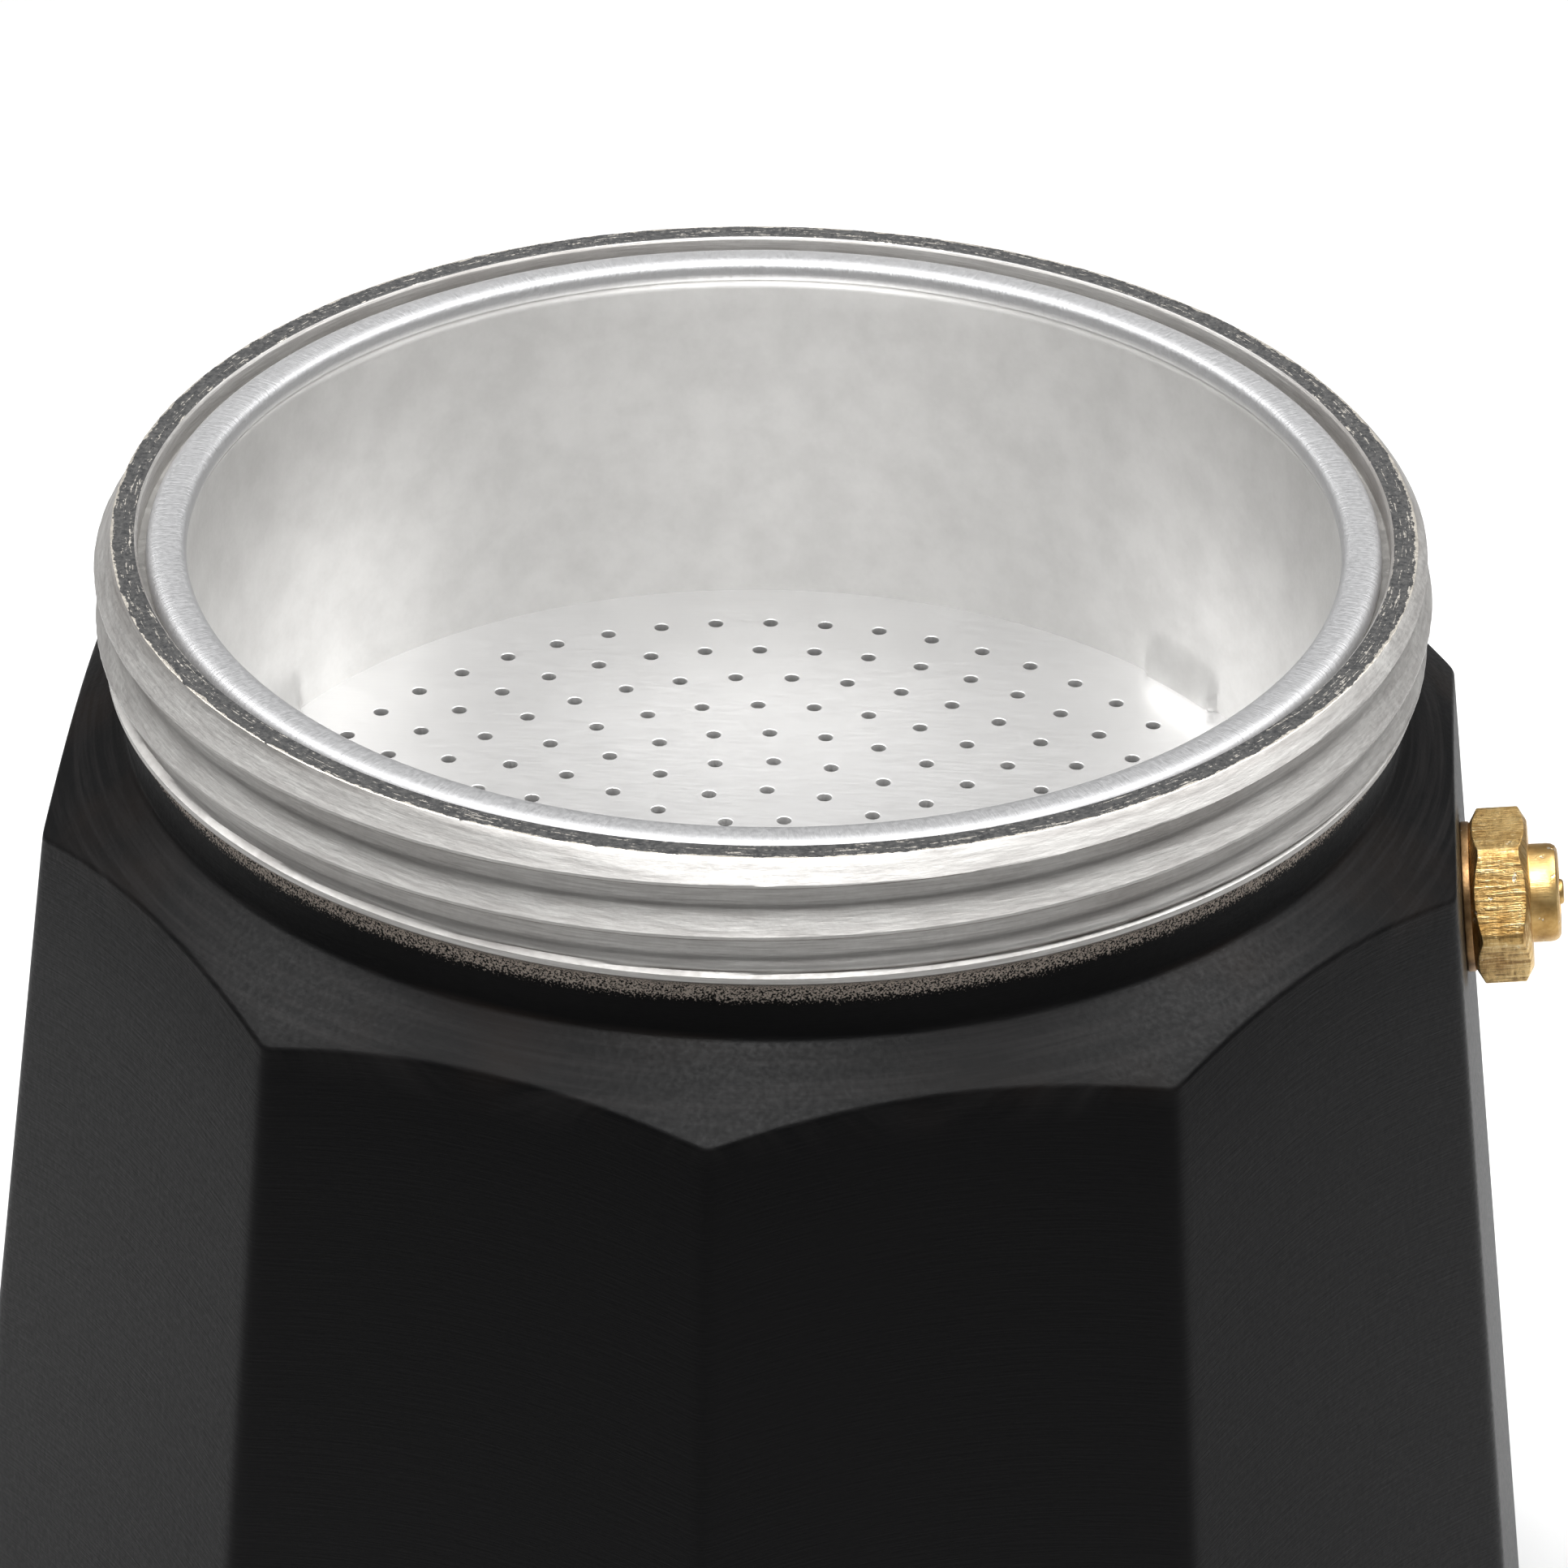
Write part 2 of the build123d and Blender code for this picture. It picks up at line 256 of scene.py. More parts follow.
def bump(tree, height, distance, strength=1.0, under=None):
    inputs = {"Height": height, "Distance": distance * MM, "Strength": strength}
    if under is not None:
        inputs["Normal"] = under
    return add(tree, "Bump", inputs).outputs["Normal"]


def new_material(name):
    """An empty material: its tree, its main shader, its Object coordinates, and x, y, z, r in millimetres."""
    material = bpy.data.materials.new(name)
    material.use_nodes = True
    tree = material.node_tree
    shader = tree.nodes["Principled BSDF"]
    place = add(tree, "TexCoord").outputs["Object"]
    split = add(tree, "SeparateXYZ", {"Vector": place}).outputs
    x, y, z = [sums(tree, "MULTIPLY", split[index], PER_MM) for index in range(3)]
    radius = sums(tree, "SQRT", sums(tree, "ADD", sums(tree, "MULTIPLY", x, x), sums(tree, "MULTIPLY", y, y)))
    return material, tree, shader, place, (x, y, z, radius)


def ring_place(tree, place, around, across, along):
    """Coordinates for marks that follow the lathe: (x/r around, y/r around, r across + z along).

    The first two walk round a circle and close on themselves; a small share makes long marks.
    """
    x, y, z, radius = place
    shares = [sums(tree, "MULTIPLY", sums(tree, "DIVIDE", value, radius), around) for value in (x, y)]
    depth = sums(tree, "ADD", sums(tree, "MULTIPLY", radius, across), sums(tree, "MULTIPLY", z, along))
    return add(tree, "CombineXYZ", {0: shares[0], 1: shares[1], 2: depth}).outputs[0]


def plug(tree, shader, **links):
    names = {"colour": "Base Color", "rough": "Roughness", "metal": "Metallic", "normal": "Normal"}
    for key, value in links.items():
        tree.links.new(value, shader.inputs[names[key]])


# %% [markdown]
# ## The boiler's finish
# The casting is sprayed black all over except the neck, which is turned bare afterwards. So one material
# holds both and fades from one to the other by height: coat below, a speckled band of overspray under
# the collar, clean metal above. Painting a mask by hand would also work, but height and noise do it
# without an unwrap and the border stays ragged at any zoom.
# %% Coated aluminium
COLLAR_DROP = 9.2        # lower edge of the collar that ends the thread, below the neck's top


def make_boiler_finish():
    material, tree, shader, place, (x, y, z, radius) = new_material("boiler_finish")
    grain = noise(tree, place, 2.6 * PER_MM, 2.0)
    speckle = noise(tree, place, 7.0 * PER_MM, 2.0, 0.6)
    drop = sums(tree, "SUBTRACT", float(HEIGHT), z)
    # coat: nearly black, with a faint brown bloom and lathe lines on the shoulder
    bloom = ramp(tree, noise(tree, place, 0.09 * PER_MM, 3.0), 0.5, 0.72, 0.0, 0.6)
    shoulder = sums(tree, "MULTIPLY", ramp(tree, drop, 20.0, 17.0), ramp(tree, drop, 13.6, 14.0))
    bloom = sums(tree, "MULTIPLY", bloom, shoulder)
    coat = blend_colour(tree, bloom, (0.0030, 0.0030, 0.0032), (0.012, 0.008, 0.006))
    scored = noise(tree, ring_place(tree, (x, y, z, radius), 1.6, 1.1, 0.0), 2.0, 5.0, 0.65)
    scored = sums(tree, "MULTIPLY", ramp(tree, scored, 0.45, 0.75), shoulder)
    coat = blend_colour(tree, scored, coat, (0.013, 0.012, 0.012))
    # bare metal: light grey, warmer and darker where grime sits in the thread
    lines = noise(tree, ring_place(tree, (x, y, z, radius), 7.0, 3.0, 4.0), 1.6, 4.0, 0.65)
    grime_patch = ramp(tree, noise(tree, place, 0.05 * PER_MM, 3.0), 0.42, 0.68)
    depth = ramp(tree, radius, 45.5, 44.9)
    grime = sums(tree, "MULTIPLY", grime_patch, depth)
    metal = blend_colour(tree, ramp(tree, lines, 0.35, 0.7), (0.50, 0.485, 0.47), (0.66, 0.65, 0.63))
    metal = blend_colour(tree, sums(tree, "MULTIPLY", grime, 0.55), metal, (0.30, 0.27, 0.25))
    # painted shade: the undersides of the thread, where the object's own normal points down, are darkened all
    # round
    facing = add(tree, "SeparateXYZ", {"Vector": add(tree, "TexCoord").outputs["Normal"]}).outputs[2]
    metal = blend_colour(tree, ramp(tree, facing, -0.05, -0.6, 0.0, 0.8), metal, (0.20, 0.175, 0.155))
    # border: a ragged edge at the collar, and under it dull speckles where the spray was thin
    thin = ramp(tree, drop, COLLAR_DROP + 2.9, COLLAR_DROP + 1.7)
    specks = ramp(tree, sums(tree, "ADD", speckle, sums(tree, "MULTIPLY", thin, 0.5)), 0.92, 1.06)
    coat = blend_colour(tree, specks, coat, (0.60, 0.52, 0.45))
    fade = ramp(tree, drop, COLLAR_DROP + 0.5, COLLAR_DROP - 0.3)
    keep = sums(tree, "GREATER_THAN", sums(tree, "ADD", fade, speckle), 0.95)
    plug(tree, shader, colour=blend_colour(tree, keep, coat, metal), metal=keep)
    rough = sums(tree, "ADD", ramp(tree, grain, 0.3, 0.7, 0.40, 0.50), sums(tree, "MULTIPLY", keep, 0.13))
    plug(tree, shader, rough=rough)
    fine = bump(tree, grain, 0.02, 0.5)
    turned = bump(tree, lines, 0.05, 0.6, fine)
    plug(tree, shader, normal=turned)
    shader.inputs["Specular IOR Level"].default_value = 0.11
    return material


def make_rim_finish():
    """Flat ring of the rim: worn coat, scored round and round, its outer edge scuffed back to metal."""
    material, tree, shader, place, (x, y, z, radius) = new_material("rim_finish")
    marks = noise(tree, ring_place(tree, (x, y, z, radius), 9.0, 3.2, 0.0), 2.2, 4.0, 0.7)
    crumbs = noise(tree, place, 3.2 * PER_MM, 3.0, 0.7)
    worn = sums(tree, "GREATER_THAN", sums(tree, "ADD", marks, sums(tree, "MULTIPLY", crumbs, 0.35)), 0.80)
    dull = blend_colour(tree, ramp(tree, crumbs, 0.3, 0.75), (0.020, 0.021, 0.023), (0.085, 0.083, 0.080))
    edge_noise = noise(tree, place, 0.7 * PER_MM, 4.0, 0.7)
    edge = sums(tree, "ADD", radius, sums(tree, "MULTIPLY", edge_noise, 0.9))
    bare_edge = sums(tree, "GREATER_THAN", edge, 45.28)
    bare = sums(tree, "MAXIMUM", bare_edge, sums(tree, "MULTIPLY", worn, 0.75))
    plug(tree, shader, colour=blend_colour(tree, bare, dull, (0.84, 0.79, 0.71)), metal=bare)
    plug(tree, shader, rough=ramp(tree, crumbs, 0.3, 0.7, 0.38, 0.55), normal=bump(tree, marks, 0.06, 0.7))
    return material


def make_chamber_finish():
    """Inside of the boiler: cast aluminium gone dull and slightly chalky with use."""
    material, tree, shader, place, (x, y, z, radius) = new_material("chamber_finish")
    stain = noise(tree, place, 0.06 * PER_MM, 5.0, 0.6)
    scale = noise(tree, place, 1.2 * PER_MM, 3.0)
    lines = noise(tree, ring_place(tree, (x, y, z, radius), 5.0, 2.0, 2.0), 1.2, 3.0)
    colour = blend_colour(tree, ramp(tree, stain, 0.35, 0.7), (0.55, 0.54, 0.52), (0.32, 0.31, 0.30))
    plug(tree, shader, colour=colour, rough=ramp(tree, scale, 0.3, 0.7, 0.42, 0.62))
    plug(tree, shader, normal=bump(tree, lines, 0.08, 0.5, bump(tree, scale, 0.04, 0.5)))
    shader.inputs["Metallic"].default_value = 0.9
    return material


boiler_finish, rim_finish, chamber_finish = make_boiler_finish(), make_rim_finish(), make_chamber_finish()
print("boiler finishes:", boiler_finish.name, rim_finish.name, chamber_finish.name)

# %% [markdown]
# ## Facets that flare, and a cone that cuts them
# A ten-sided body could be a ten-sided cylinder with a Bevel modifier. Worked out instead, the facet is
# the place where a ray from the axis meets the nearest of ten planes. Adding the ten cosines at a high
# power, rather than taking the largest, rounds every corner by a little, as paint and polishing do.
# The lathe then cuts a cone over the shoulder, and where cone and facet meet the scallops appear by
# themselves: for each azimuth the meeting point is one line of algebra.
# %% Boiler: body measures
SIDES = 10
CORNER_SOFTNESS = 300        # power of the cosine sum: higher is sharper
SHOULDER_CORNER_R = 51.1
SHOULDER_CORNER_Z = HEIGHT - 18.6
CORNER_FLARE = 0.122
SHOULDER_SLOPE = 4.6 / 6.6
PLAIN_R, PLAIN_FOOT_Z = 44.5, HEIGHT - 14.0
STEPS_PER_FACET = 48
CROWDING = 0.75              # columns crowd towards the corners by this share


def body_azimuths():
    """Columns of the boiler, closer together at the corners: 36 (t - k sin(2 pi t) / 2 pi) degrees."""
    share = np.arange(STEPS_PER_FACET) / STEPS_PER_FACET
    within = share - CROWDING / (2 * np.pi) * np.sin(2 * np.pi * share)
    facet = 2 * np.pi / SIDES
    return (np.arange(SIDES)[:, None] * facet + facet * (within - 0.5)[None]).ravel() + facet


def many_sided(azimuth, sides, power, first=0.0):
    """Radius of a many-sided section over its half width: 1 / (sum of cos^power to each flat)^(1/power)."""
    flats = first + np.arange(sides) * 2 * np.pi / sides
    nearness = np.clip(np.cos(azimuth[:, None] - flats[None]), 0, None)
    return 1 / (nearness ** power).sum(axis=1) ** (1 / power)


azimuth = body_azimuths()
corner_share = many_sided(azimuth, SIDES, CORNER_SOFTNESS) * math.cos(math.pi / SIDES)


def facet_radius(z):
    return corner_share * (SHOULDER_CORNER_R + CORNER_FLARE * (SHOULDER_CORNER_Z - z))


def cone_height(radius):
    return PLAIN_FOOT_Z - SHOULDER_SLOPE * (radius - PLAIN_R)


def scallop_edge():
    """Where cone and facet meet: r = g (C + k (Z - z)) with z = F - s (r - p), solved for r."""
    push = corner_share * CORNER_FLARE * SHOULDER_SLOPE
    reach = SHOULDER_CORNER_R + CORNER_FLARE * (SHOULDER_CORNER_Z - PLAIN_FOOT_Z)
    radius = (corner_share * reach - push * PLAIN_R) / (1 - push)
    return radius, cone_height(radius)


scallop_r, scallop_z = scallop_edge()
print("scallops rise from", round(scallop_z.min(), 1), "to", round(scallop_z.max(), 1), "mm")

# %% [markdown]
# ## A thread whose rows follow the helix
# Level rows would cut across the ridge and leave it jagged. Here each row climbs one pitch per turn, so
# the crest is always on the same row. After a full turn row h has become row h plus one pitch's worth,
# so the seam joins rows with that shift. Rows that start below the collar or end above the lead-in are
# held at those heights, and merging doubles closes them up.
# The thread is worn: under each crest a short step, above it a long fall that the light rakes across.
# %% Boiler: neck and thread
PITCH, CREST_R, ROOT_R = 3.9, 46.2, 45.0
CREST_LAND = 0.10                             # half width of the crest along the axis, millimetres
UPPER_FLANK, LOWER_FLANK = 1.7, 0.70          # long hollow fall above a crest, short step under it
CREST_Z = HEIGHT - 5.34                       # crest's height at the azimuth below
CREST_AZIMUTH = math.radians(-86.45)
COLLAR_R, COLLAR_TOP = 45.6, HEIGHT - 8.75
LEAD_IN = 1.4                                 # height of the chamfer from the rim out to the crest
THREAD_TOP = HEIGHT - 0.3
ROWS_PER_PITCH = 30
climb = PITCH * (azimuth - CREST_AZIMUTH) / (2 * np.pi)


def crest_distance(angle, z):
    """Height over the crest below, from minus a quarter of the pitch to three quarters."""
    phase = (z - CREST_Z) / PITCH - (angle - CREST_AZIMUTH) / (2 * np.pi)
    return (phase - np.floor(phase + 0.25)) * PITCH


def neck_radius(angle, z):
    """Root, plus the ridge where a crest is near, kept over the collar and under the lead-in chamfer.

    Above the crest the flank is hollow, (1 - d/w)^1.1, so it brightens slowly towards the next crest up;
    under the crest it is a short eased step. A light ripple wears the crest.
    """
    over = crest_distance(angle, z)
    hollow = (1 - np.clip((over - CREST_LAND) / UPPER_FLANK, 0, 1)) ** 1.1
    step = smooth_step(1 + (over + CREST_LAND) / LOWER_FLANK)
    eased = np.where(over > 0, hollow, step)
    run_in = smooth_step((z - COLLAR_TOP) / 1.0 + 0.15)
    wear = np.abs(0.04 * ripple(angle, (30, 160), 3)) * eased
    ridge = ROOT_R + (CREST_R - ROOT_R) * eased * run_in - wear
    collar = np.where(z <= COLLAR_TOP, COLLAR_R, COLLAR_R - 1.6 * (z - COLLAR_TOP))
    chamfer = ROOT_R + (CREST_R - ROOT_R) * (HEIGHT - z) / LEAD_IN
    return np.minimum(np.maximum(ridge, collar), chamfer)


def thread_rows():
    """Rows between collar and rim: fixed offsets from the crest, climbing one pitch per turn."""
    share = np.arange(ROWS_PER_PITCH) / ROWS_PER_PITCH - 0.5
    offset = PITCH * (share - 0.1 * np.sin(2 * np.pi * share))
    below = math.ceil((CREST_Z + climb[0] + PITCH / 2 - COLLAR_TOP) / PITCH)
    first_crest = CREST_Z - PITCH * below
    turns = math.ceil((THREAD_TOP - first_crest - climb[0] + PITCH / 2) / PITCH)
    level = (first_crest + np.arange(turns)[:, None] * PITCH + offset[None]).ravel()
    z = np.clip(level[:, None] + climb[None], COLLAR_TOP, THREAD_TOP)
    return np.stack([neck_radius(azimuth[None], z), z], axis=-1)


def thread_quads(rows, columns):
    """Quads of the climbing grid: the seam joins each row to the row one pitch further on."""
    inner = grid_quads(rows, columns).reshape(rows - 1, columns, 4)[:, :-1].reshape(-1, 4)
    row = np.arange(rows - ROWS_PER_PITCH - 1)
    last, first = row * columns + columns - 1, (row + ROWS_PER_PITCH) * columns
    seam = np.stack([last, first, first + columns, last + columns], axis=-1)
    return np.concatenate([inner, seam])


thread_strip = thread_rows()
print("thread rows", len(thread_strip), "largest radius", round(thread_strip[..., 0].max(), 2), "mm")


# %% [markdown]
# ## The whole casting as one skin
# The outline starts under the boiler's middle, runs out over the foot, up a facet, over the shoulder and
# the neck, in over the rim and down the bore to the middle of the floor. As one skin it has no hidden
# joints, and its faces all point out of the metal. Three strips are laid end to end: level rows, the
# climbing thread rows, and level rows again.
# %% Boiler: build
RECESS_R, RECESS_DEPTH = 44.0, 0.6
SEAT_R, SEAT_Z, BORE_R = 43.2, HEIGHT - 1.8, 41.4
BORE_FOOT_Z = HEIGHT - 16.8                   # the water chamber opens out below this height
CHAMBER_TOP_R, CHAMBER_TOP_Z = 45.6, HEIGHT - 21.0
CHAMBER_FLOOR_R, FLOOR_Z = 53.6, 4.0


def lower_rows():
    """Outline from the middle of the underside, over the foot, facet and shoulder, to the collar."""
    return rounded_outline([
        (0, RECESS_DEPTH, 0, 1),
        (RECESS_R - 0.5, RECESS_DEPTH, 0.2, 3),
        (RECESS_R, 0, 0.2, 2),
        (facet_radius(0.0), 0, 4.0, 4),
        (scallop_r, scallop_z, 0.3, 10),
        (PLAIN_R, PLAIN_FOOT_Z, 0.4, 7),
        (PLAIN_R, HEIGHT - COLLAR_DROP - 0.9, 0.35, 4),
        (COLLAR_R, HEIGHT - COLLAR_DROP, 0.1, 3),
        (neck_radius(azimuth, COLLAR_TOP), COLLAR_TOP, 0, 2),
    ])


def upper_rows():
    """Outline from the lead-in over the rim, down the seat and the bore, to the middle of the floor."""
    burr = 0.05 * np.abs(ripple(azimuth, (40, 170), 8))
    return rounded_outline([
        (neck_radius(azimuth, THREAD_TOP), THREAD_TOP, 0, 1),
        (ROOT_R - 0.05 + burr, HEIGHT, 0.06, 2),
        (SEAT_R + 0.2, HEIGHT, 0.06, 4),
        (SEAT_R, HEIGHT - 0.25, 0.06, 1),
        (SEAT_R, SEAT_Z, 0.1, 2),
        (BORE_R, SEAT_Z, 0.15, 2),
        (BORE_R, BORE_FOOT_Z, 1.5, 6),
        (CHAMBER_TOP_R, CHAMBER_TOP_Z, 2.5, 3),
        (CHAMBER_FLOOR_R, FLOOR_Z, 10.0, 8),
        (0, FLOOR_Z, 0, 5),
    ])


def build_boiler():
    """Three strips end to end; faces on the rim's flat and below the seat get their own finishes."""
    strips = [lower_rows(), thread_strip, upper_rows()]
    columns, points, quads, start = len(azimuth), [], [], 0
    for strip, quads_of in zip(strips, (grid_quads, thread_quads, grid_quads)):
        points.append(carried_round(strip, azimuth).reshape(-1, 3))
        quads.append(quads_of(len(strip), columns) + start)
        start += len(strip) * columns
    points, faces = np.concatenate(points), np.concatenate(quads)
    middle = points[faces].mean(axis=1)
    after_thread = np.arange(len(faces)) >= len(quads[0]) + len(quads[1])
    rim = after_thread & (middle[:, 2] > HEIGHT - 0.06)
    inside = after_thread & (middle[:, 2] < SEAT_Z + 0.05)
    zones = np.where(inside, 2, np.where(rim, 1, 0))
    finishes = [boiler_finish, rim_finish, chamber_finish]
    make_piece("boiler_casting", points, [faces], "boiler", finishes, zones,
               stands_for=["boiler_body"])


build_boiler()

# %% [markdown]
# ## Spun and rolled aluminium
# The funnel is thin sheet, so its metal shows two different skins: a satin wall, faintly mottled where
# the sheet was spun, and a rolled rim covered in short scratches that run across it, where gaskets
# have rubbed. The scratches come from noise that is squeezed hard round the rim and hardly across it.
# %% Funnel finishes


def make_funnel_finish():
    """Satin spun wall; near the top of the rim, lighter metal under short scratches that run across it."""
    material, tree, shader, place, (x, y, z, radius) = new_material("funnel_finish")
    mottle = noise(tree, place, 0.25 * PER_MM, 4.0, 0.6)
    fine = noise(tree, place, 3.0 * PER_MM, 3.0)
    scratch = noise(tree, ring_place(tree, (x, y, z, radius), 170.0, 0.8, 0.8), 1.0, 3.0, 0.7)
    patch = noise(tree, ring_place(tree, (x, y, z, radius), 9.0, 1.5, 1.5), 1.0, 3.0, 0.6)
    on_rim = ramp(tree, z, HEIGHT - 1.9, HEIGHT - 1.3)
    rubbed = sums(tree, "MULTIPLY", on_rim, ramp(tree, scratch, 0.42, 0.62))
    rubbed = sums(tree, "MULTIPLY", rubbed, ramp(tree, patch, 0.35, 0.65, 0.35, 1.0))
    wall = blend_colour(tree, ramp(tree, mottle, 0.35, 0.65), (0.60, 0.595, 0.585), (0.67, 0.665, 0.655))
    wall = blend_colour(tree, on_rim, wall, (0.50, 0.50, 0.505))
    colour = blend_colour(tree, sums(tree, "MULTIPLY", rubbed, 0.5), wall, (0.46, 0.46, 0.47))
    rough = sums(tree, "ADD", ramp(tree, fine, 0.3, 0.7, 0.34, 0.46), sums(tree, "MULTIPLY", on_rim, 0.12))
    plug(tree, shader, colour=colour, rough=rough)
    under = bump(tree, fine, 0.012, 0.5)
    streaks = bump(tree, sums(tree, "MULTIPLY", scratch, on_rim), 0.08, 0.7, under)
    plug(tree, shader, normal=streaks)
    shader.inputs["Metallic"].default_value = 0.85
    return material


def make_disc_finish():
    """Rolled sheet: a grain drawn out along X, and a faint cloudiness."""
    material, tree, shader, place, _ = new_material("disc_finish")
    grain = add(tree, "Mapping", {"Vector": place, "Scale": (0.35, 5.0, 1.0)}).outputs[0]
    rolled = noise(tree, grain, 1.2 * PER_MM, 3.0)
    cloud = noise(tree, place, 0.05 * PER_MM, 3.0)
    colour = blend_colour(tree, ramp(tree, cloud, 0.3, 0.7), (0.67, 0.665, 0.66), (0.74, 0.735, 0.73))
    plug(tree, shader, colour=colour, rough=ramp(tree, rolled, 0.3, 0.7, 0.36, 0.46))
    plug(tree, shader, normal=bump(tree, rolled, 0.01, 0.4, bump(tree, cloud, 0.6, 0.3)))
    shader.inputs["Metallic"].default_value = 0.8
    return material


funnel_finish, disc_finish = make_funnel_finish(), make_disc_finish()
print("funnel finishes:", funnel_finish.name, disc_finish.name)

# %% [markdown]
# ## The basket and its crimps
# Basket, ledge, cone and socket are one closed outline carried round, inside and outside together, so
# the sheet has its real thickness. Three crimps hold the disc down: there the wall is pressed inwards
# between two creases, just above the disc. A crimp is a dent in the radius, so it is taken off after
# the outline is carried round, with a window in azimuth and a fade in height.
# %% Funnel cup
CRIMPS = np.radians([43.5, 156.5, 270.0])
CRIMP_HALF, CRIMP_RISE, CRIMP_DEPTH = math.radians(5.6), 4.0, 0.55
CUP_OUT_R = CUP_IN_R + 0.8
SOCKET_TOP = SOCKET_BOTTOM + 7.0
LEDGE_R, ROLL_IN_R = 39.0, 39.8
ROLL_FOOT = ROLL_TOP - 1.4                    # inner edge of the roll, where it meets the wall's bend


def crimp_dent(angle, z):
    """Depth of the dents: a steep-sided window round each crimp times a fade from the disc upwards."""
    apart = np.abs((angle[..., None] - CRIMPS + np.pi) % (2 * np.pi) - np.pi)
    window = smooth_step((CRIMP_HALF - apart) / math.radians(1.0)).max(axis=-1)
    fade = (1 - smooth_step((z - DISC_TOP) / CRIMP_RISE)) * (z > DISC_TOP - 0.05)
    return CRIMP_DEPTH * window * fade


def build_cup():
    """One closed outline, from the socket's foot up the outside, over the roll and down the inside."""
    turn = circle(540)
    outline = rounded_outline([
        (STEM_R + 0.8, SOCKET_BOTTOM, 0.2, 2),
        (STEM_R + 0.8, SOCKET_TOP - 0.56, 1.5, 3),
        (CUP_OUT_R, DISC_BOTTOM - 0.1, 1.2, 12),
        (CUP_OUT_R, SEAT_Z, 0.3, 14),
        (ROLL_OUT_R, SEAT_Z, 0.3, 1),
        (ROLL_OUT_R, ROLL_TOP, 1.05, 1),
        (ROLL_IN_R, ROLL_TOP, 0.95, 1),
        (ROLL_IN_R, ROLL_FOOT, 0.4, 1),
        (CUP_IN_R, ROLL_FOOT - 0.5, 0.5, 2),
        (CUP_IN_R, DISC_TOP + CRIMP_RISE, 0, 10),
        (CUP_IN_R, DISC_TOP, 0, 12),
        (CUP_IN_R, DISC_BOTTOM, 0, 1),
        (LEDGE_R, DISC_BOTTOM, 0.3, 2),
        (STEM_R, SOCKET_TOP, 1.5, 12),
        (STEM_R, SOCKET_BOTTOM, 0.1, 3),
    ], closed=True)
    outline = np.repeat(outline, len(turn), axis=1)
    on_wall = outline[..., 0] > LEDGE_R + 1
    outline[..., 0] -= crimp_dent(np.broadcast_to(turn, outline.shape[:2]), outline[..., 1]) * on_wall
    quads = grid_quads(len(outline), len(turn), close_rows=True)
    points = carried_round(outline, turn)
    make_piece("spun_funnel", points, [quads], "funnel", [funnel_finish],
               stands_for=["funnel_cup"])


build_cup()

# %% [markdown]
# ## A perforated disc
# 259 holes in nine rings, about four millimetres apart both ways. Boolean cuts would work but leave
# sliver faces. Instead the flat face is triangulated once round all the hole loops, and each hole then
# gets its own little tube with a rounded lip, all holes at once as one array. The plate's triangles are
# long, so they are shaded flat: smoothed, they would carry the lips' slant across the whole disc.
# %% Filter disc
HOLE_R, HOLE_LIP, HOLE_SIDES, EDGE_SIDES = 0.53, 0.07, 18, 240
RING_PITCH, FIRST_RING = 4.06, 2.75
RINGS = (                # holes in each ring and the azimuth of its first hole, degrees
    (4, 20.0), (10, 8.0), (16, 1.7), (22, 8.7), (29, 5.2), (35, 2.0), (41, 1.4), (48, 4.2), (54, 6.2),
)
INSIDE_HOLE = 0.975      # a triangle whose middle is nearer to a hole's centre than this share lies in it


def hole_centres():
    """Centres ring by ring: equal steps round the ring from its first hole's azimuth."""
    rings = []
    for index, (count, first) in enumerate(RINGS):
        turn = circle(count) + math.radians(first)
        rings.append((FIRST_RING + index * RING_PITCH) * np.stack([np.cos(turn), np.sin(turn)], axis=-1))
    return np.concatenate(rings)


def flat_with_holes(centres, lip_r):
    """Triangles of a round plate outside its holes, from one constrained triangulation of all the loops."""
    turn = circle(HOLE_SIDES)
    loops = centres[:, None] + lip_r * np.stack([np.cos(turn), np.sin(turn)], axis=-1)[None]
    around = circle(EDGE_SIDES)
    edge = CUP_IN_R * np.stack([np.cos(around), np.sin(around)], axis=-1)
    step, starts = np.arange(HOLE_SIDES), np.arange(len(centres))[:, None] * HOLE_SIDES
    loop_wires = np.stack([starts + step, starts + (step + 1) % HOLE_SIDES], axis=-1).reshape(-1, 2)
    rim = len(centres) * HOLE_SIDES + np.arange(EDGE_SIDES)
    wires = np.concatenate([loop_wires, np.stack([rim, np.roll(rim, -1)], axis=-1)])
    corners = [Vector(corner) for corner in np.concatenate([loops.reshape(-1, 2), edge]).tolist()]
    flat, _, triangles, *_ = geometry.delaunay_2d_cdt(corners, wires.tolist(), [], 0, 1e-6)
    flat, triangles = np.array([tuple(corner) for corner in flat]), np.array(triangles)
    apart = flat[triangles].mean(axis=1)[:, None] - centres[None]
    outside = np.hypot(apart[..., 0], apart[..., 1]).min(axis=1) > lip_r * INSIDE_HOLE
    return flat, triangles[outside]


